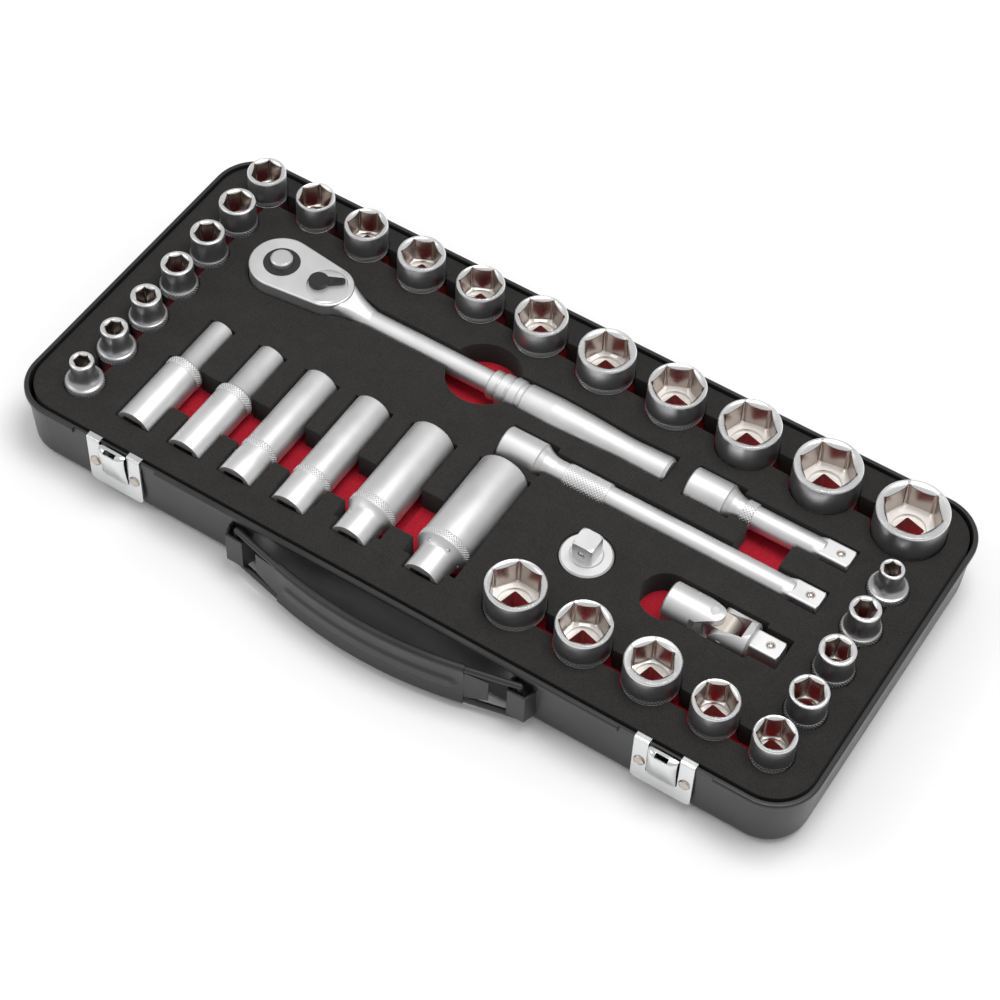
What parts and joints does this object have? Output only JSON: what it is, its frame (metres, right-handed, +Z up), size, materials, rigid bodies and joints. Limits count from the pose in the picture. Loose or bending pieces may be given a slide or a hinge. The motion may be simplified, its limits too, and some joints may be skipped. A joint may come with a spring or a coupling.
{
  "type": "socket_wrench_set",
  "caption": "Socket wrench set in an open black steel case: upright and deep sockets, reversible ratchet, extension bars, universal joint and drive adaptor in black-over-red foam.",
  "frame": {"origin": "centre of the case's flat base, on the surface it stands on", "axes": "+X along the long side of the case, +Y from the handle wall to the plain back wall, +Z up"},
  "size_m": [0.3782, 0.1863, 0.0444],
  "materials": {
    "case_paint": "semi-gloss black powder coat",
    "foam_charcoal": "charcoal closed-cell foam, fine speckle",
    "foam_red": "crimson closed-cell foam",
    "zinc_plate": "bright zinc plate",
    "rivet_steel": "warm grey steel rivets",
    "detent_ball": "polished steel",
    "black_plastic": "moulded black plastic",
    "blackened_steel": "blackened steel",
    "polished_chrome": "polished chrome",
    "socket_chrome": "satin chrome with bright rims",
    "satin_chrome": "pearl satin chrome"
  },
  "bodies": {
    "case": {"case_tray": "case_paint", "foam_upper": "foam_charcoal", "foam_base": "foam_red", "latch_keeper_left": "zinc_plate", "latch_keeper_right": "zinc_plate", "latch_rivets": "rivet_steel"},
    "handle": {"handle_wire": "case_paint", "handle_grip": "case_paint"},
    "deep_socket_08mm": {"deep_socket_08mm": "satin_chrome"},
    "deep_socket_10mm": {"deep_socket_10mm": "satin_chrome"},
    "deep_socket_12mm": {"deep_socket_12mm": "satin_chrome"},
    "deep_socket_13mm": {"deep_socket_13mm": "satin_chrome"},
    "deep_socket_15mm": {"deep_socket_15mm": "satin_chrome"},
    "deep_socket_17mm": {"deep_socket_17mm": "satin_chrome"},
    "socket_06mm": {"socket_06mm": "socket_chrome"},
    "socket_07mm": {"socket_07mm": "socket_chrome"},
    "socket_08mm": {"socket_08mm": "socket_chrome"},
    "socket_09mm": {"socket_09mm": "socket_chrome"},
    "socket_10mm": {"socket_10mm": "socket_chrome"},
    "socket_11_16_inch": {"socket_11_16_inch": "socket_chrome"},
    "socket_11mm": {"socket_11mm": "socket_chrome"},
    "socket_12mm": {"socket_12mm": "socket_chrome"},
    "socket_13mm": {"socket_13mm": "socket_chrome"},
    "socket_14mm": {"socket_14mm": "socket_chrome"},
    "socket_15mm": {"socket_15mm": "socket_chrome"},
    "socket_16mm": {"socket_16mm": "socket_chrome"},
    "socket_17mm": {"socket_17mm": "socket_chrome"},
    "socket_18mm": {"socket_18mm": "socket_chrome"},
    "socket_19mm": {"socket_19mm": "socket_chrome"},
    "socket_1_2_inch": {"socket_1_2_inch": "socket_chrome"},
    "socket_1_4_inch": {"socket_1_4_inch": "socket_chrome"},
    "socket_20mm": {"socket_20mm": "socket_chrome"},
    "socket_21mm": {"socket_21mm": "socket_chrome"},
    "socket_22mm": {"socket_22mm": "socket_chrome"},
    "socket_3_4_inch": {"socket_3_4_inch": "socket_chrome"},
    "socket_3_8_inch": {"socket_3_8_inch": "socket_chrome"},
    "socket_5_16_inch": {"socket_5_16_inch": "socket_chrome"},
    "socket_5_8_inch": {"socket_5_8_inch": "socket_chrome"},
    "socket_7_16_inch": {"socket_7_16_inch": "socket_chrome"},
    "socket_9_16_inch": {"socket_9_16_inch": "socket_chrome"},
    "extension_150mm": {"extension_150mm": "satin_chrome"},
    "extension_150mm_detent": {"extension_150mm_ball": "detent_ball"},
    "extension_75mm": {"extension_75mm": "satin_chrome"},
    "extension_75mm_detent": {"extension_75mm_ball": "detent_ball"},
    "drive_adaptor": {"drive_adaptor": "satin_chrome"},
    "drive_adaptor_detent": {"drive_adaptor_ball": "detent_ball"},
    "uj_socket_end": {"uj_socket_yoke": "satin_chrome", "uj_pin_vertical": "polished_chrome"},
    "uj_cross": {"uj_cross_block": "satin_chrome", "uj_pin_horizontal": "polished_chrome"},
    "uj_drive_end": {"uj_drive_yoke": "satin_chrome"},
    "uj_drive_detent": {"uj_ball": "detent_ball"},
    "ratchet": {"ratchet_body": "satin_chrome", "ratchet_cover": "satin_chrome", "ratchet_cover_screws": "polished_chrome"},
    "ratchet_drive": {"ratchet_gear": "blackened_steel"},
    "ratchet_release": {"ratchet_button": "polished_chrome"},
    "ratchet_detent": {"ratchet_ball": "detent_ball"},
    "ratchet_reverser": {"ratchet_selector": "black_plastic"},
    "ratchet_rocker": {"ratchet_pawl": "blackened_steel"}
  },
  "joints": [
    {"name": "handle_tilt", "type": "hinge", "parent": "case", "child": "handle", "pos_m": [0, -0.0873, 0.01575], "axis": [-1, 0, 0], "range_deg": [0, 4]},
    {"name": "deep_socket_08mm_lift", "type": "slide", "parent": "case", "child": "deep_socket_08mm", "axis": [0, 0, 1], "range_m": [0, 0.04]},
    {"name": "deep_socket_10mm_lift", "type": "slide", "parent": "case", "child": "deep_socket_10mm", "axis": [0, 0, 1], "range_m": [0, 0.04]},
    {"name": "deep_socket_12mm_lift", "type": "slide", "parent": "case", "child": "deep_socket_12mm", "axis": [0, 0, 1], "range_m": [0, 0.04]},
    {"name": "deep_socket_13mm_lift", "type": "slide", "parent": "case", "child": "deep_socket_13mm", "axis": [0, 0, 1], "range_m": [0, 0.04]},
    {"name": "deep_socket_15mm_lift", "type": "slide", "parent": "case", "child": "deep_socket_15mm", "axis": [0, 0, 1], "range_m": [0, 0.04]},
    {"name": "deep_socket_17mm_lift", "type": "slide", "parent": "case", "child": "deep_socket_17mm", "axis": [0, 0, 1], "range_m": [0, 0.04]},
    {"name": "socket_06mm_lift", "type": "slide", "parent": "case", "child": "socket_06mm", "axis": [0, 0, 1], "range_m": [0, 0.04]},
    {"name": "socket_07mm_lift", "type": "slide", "parent": "case", "child": "socket_07mm", "axis": [0, 0, 1], "range_m": [0, 0.04]},
    {"name": "socket_08mm_lift", "type": "slide", "parent": "case", "child": "socket_08mm", "axis": [0, 0, 1], "range_m": [0, 0.04]},
    {"name": "socket_09mm_lift", "type": "slide", "parent": "case", "child": "socket_09mm", "axis": [0, 0, 1], "range_m": [0, 0.04]},
    {"name": "socket_10mm_lift", "type": "slide", "parent": "case", "child": "socket_10mm", "axis": [0, 0, 1], "range_m": [0, 0.04]},
    {"name": "socket_11_16_inch_lift", "type": "slide", "parent": "case", "child": "socket_11_16_inch", "axis": [0, 0, 1], "range_m": [0, 0.04]},
    {"name": "socket_11mm_lift", "type": "slide", "parent": "case", "child": "socket_11mm", "axis": [0, 0, 1], "range_m": [0, 0.04]},
    {"name": "socket_12mm_lift", "type": "slide", "parent": "case", "child": "socket_12mm", "axis": [0, 0, 1], "range_m": [0, 0.04]},
    {"name": "socket_13mm_lift", "type": "slide", "parent": "case", "child": "socket_13mm", "axis": [0, 0, 1], "range_m": [0, 0.04]},
    {"name": "socket_14mm_lift", "type": "slide", "parent": "case", "child": "socket_14mm", "axis": [0, 0, 1], "range_m": [0, 0.04]},
    {"name": "socket_15mm_lift", "type": "slide", "parent": "case", "child": "socket_15mm", "axis": [0, 0, 1], "range_m": [0, 0.04]},
    {"name": "socket_16mm_lift", "type": "slide", "parent": "case", "child": "socket_16mm", "axis": [0, 0, 1], "range_m": [0, 0.04]},
    {"name": "socket_17mm_lift", "type": "slide", "parent": "case", "child": "socket_17mm", "axis": [0, 0, 1], "range_m": [0, 0.04]},
    {"name": "socket_18mm_lift", "type": "slide", "parent": "case", "child": "socket_18mm", "axis": [0, 0, 1], "range_m": [0, 0.04]},
    {"name": "socket_19mm_lift", "type": "slide", "parent": "case", "child": "socket_19mm", "axis": [0, 0, 1], "range_m": [0, 0.04]},
    {"name": "socket_1_2_inch_lift", "type": "slide", "parent": "case", "child": "socket_1_2_inch", "axis": [0, 0, 1], "range_m": [0, 0.04]},
    {"name": "socket_1_4_inch_lift", "type": "slide", "parent": "case", "child": "socket_1_4_inch", "axis": [0, 0, 1], "range_m": [0, 0.04]},
    {"name": "socket_20mm_lift", "type": "slide", "parent": "case", "child": "socket_20mm", "axis": [0, 0, 1], "range_m": [0, 0.04]},
    {"name": "socket_21mm_lift", "type": "slide", "parent": "case", "child": "socket_21mm", "axis": [0, 0, 1], "range_m": [0, 0.04]},
    {"name": "socket_22mm_lift", "type": "slide", "parent": "case", "child": "socket_22mm", "axis": [0, 0, 1], "range_m": [0, 0.04]},
    {"name": "socket_3_4_inch_lift", "type": "slide", "parent": "case", "child": "socket_3_4_inch", "axis": [0, 0, 1], "range_m": [0, 0.04]},
    {"name": "socket_3_8_inch_lift", "type": "slide", "parent": "case", "child": "socket_3_8_inch", "axis": [0, 0, 1], "range_m": [0, 0.04]},
    {"name": "socket_5_16_inch_lift", "type": "slide", "parent": "case", "child": "socket_5_16_inch", "axis": [0, 0, 1], "range_m": [0, 0.04]},
    {"name": "socket_5_8_inch_lift", "type": "slide", "parent": "case", "child": "socket_5_8_inch", "axis": [0, 0, 1], "range_m": [0, 0.04]},
    {"name": "socket_7_16_inch_lift", "type": "slide", "parent": "case", "child": "socket_7_16_inch", "axis": [0, 0, 1], "range_m": [0, 0.04]},
    {"name": "socket_9_16_inch_lift", "type": "slide", "parent": "case", "child": "socket_9_16_inch", "axis": [0, 0, 1], "range_m": [0, 0.04]},
    {"name": "extension_150mm_lift", "type": "slide", "parent": "case", "child": "extension_150mm", "axis": [0, 0, 1], "range_m": [0, 0.04]},
    {"name": "extension_150mm_detent_press", "type": "slide", "parent": "extension_150mm", "child": "extension_150mm_detent", "axis": [0, 0, -1], "range_m": [0, 0.0008], "stiffness_N_per_m": 400, "springref_m": -0.002},
    {"name": "extension_75mm_lift", "type": "slide", "parent": "case", "child": "extension_75mm", "axis": [0, 0, 1], "range_m": [0, 0.04]},
    {"name": "extension_75mm_detent_press", "type": "slide", "parent": "extension_75mm", "child": "extension_75mm_detent", "axis": [0, 0, -1], "range_m": [0, 0.0008], "stiffness_N_per_m": 400, "springref_m": -0.002},
    {"name": "drive_adaptor_lift", "type": "slide", "parent": "case", "child": "drive_adaptor", "axis": [0, 0, 1], "range_m": [0, 0.04]},
    {"name": "drive_adaptor_detent_press", "type": "slide", "parent": "drive_adaptor", "child": "drive_adaptor_detent", "axis": [0, 1, 0], "range_m": [0, 0.0008], "stiffness_N_per_m": 400, "springref_m": -0.002},
    {"name": "uj_socket_end_lift", "type": "slide", "parent": "case", "child": "uj_socket_end", "axis": [0, 0, 1], "range_m": [0, 0.12]},
    {"name": "uj_swing", "type": "hinge", "parent": "uj_socket_end", "child": "uj_cross", "pos_m": [0.1163, -0.0196, 0.0272], "axis": [0, 0, 1], "range_deg": [0, 45]},
    {"name": "uj_tilt", "type": "hinge", "parent": "uj_cross", "child": "uj_drive_end", "pos_m": [0.1227, -0.0196, 0.0272], "axis": [0, -1, 0], "range_deg": [0, 45]},
    {"name": "uj_drive_detent_press", "type": "slide", "parent": "uj_drive_end", "child": "uj_drive_detent", "axis": [0, 0, -1], "range_m": [0, 0.0008], "stiffness_N_per_m": 400, "springref_m": -0.002},
    {"name": "ratchet_lift", "type": "slide", "parent": "case", "child": "ratchet", "axis": [0, 0, 1], "range_m": [0, 0.04]},
    {"name": "ratchet_spin", "type": "hinge", "parent": "ratchet", "child": "ratchet_drive", "pos_m": [-0.1325, 0.0354, 0.0272], "axis": [0, 0, 1], "continuous": true},
    {"name": "ratchet_button_press", "type": "slide", "parent": "ratchet_drive", "child": "ratchet_release", "axis": [0, 0, -1], "range_m": [0, 0.002], "stiffness_N_per_m": 400, "springref_m": -0.003},
    {"name": "ratchet_detent_press", "type": "slide", "parent": "ratchet_drive", "child": "ratchet_detent", "axis": [0, 1, 0], "range_m": [0, 0.0008], "stiffness_N_per_m": 400, "springref_m": -0.002},
    {"name": "ratchet_reverse", "type": "hinge", "parent": "ratchet", "child": "ratchet_reverser", "pos_m": [-0.113, 0.0354, 0.0363], "axis": [0, 0, 1], "range_deg": [-66, 0]},
    {"name": "pawl_rock", "type": "hinge", "parent": "ratchet", "child": "ratchet_rocker", "pos_m": [-0.113, 0.0354, 0.0272], "axis": [0, 0, 1], "range_deg": [0, 10]}
  ],
  "couplings": [
    {"joint": "pawl_rock", "follows": "ratchet_reverse", "ratio": -0.15152},
    {"joint": "uj_swing", "follows": "uj_socket_end_lift", "rad_per_m": 6.5445}
  ]
}
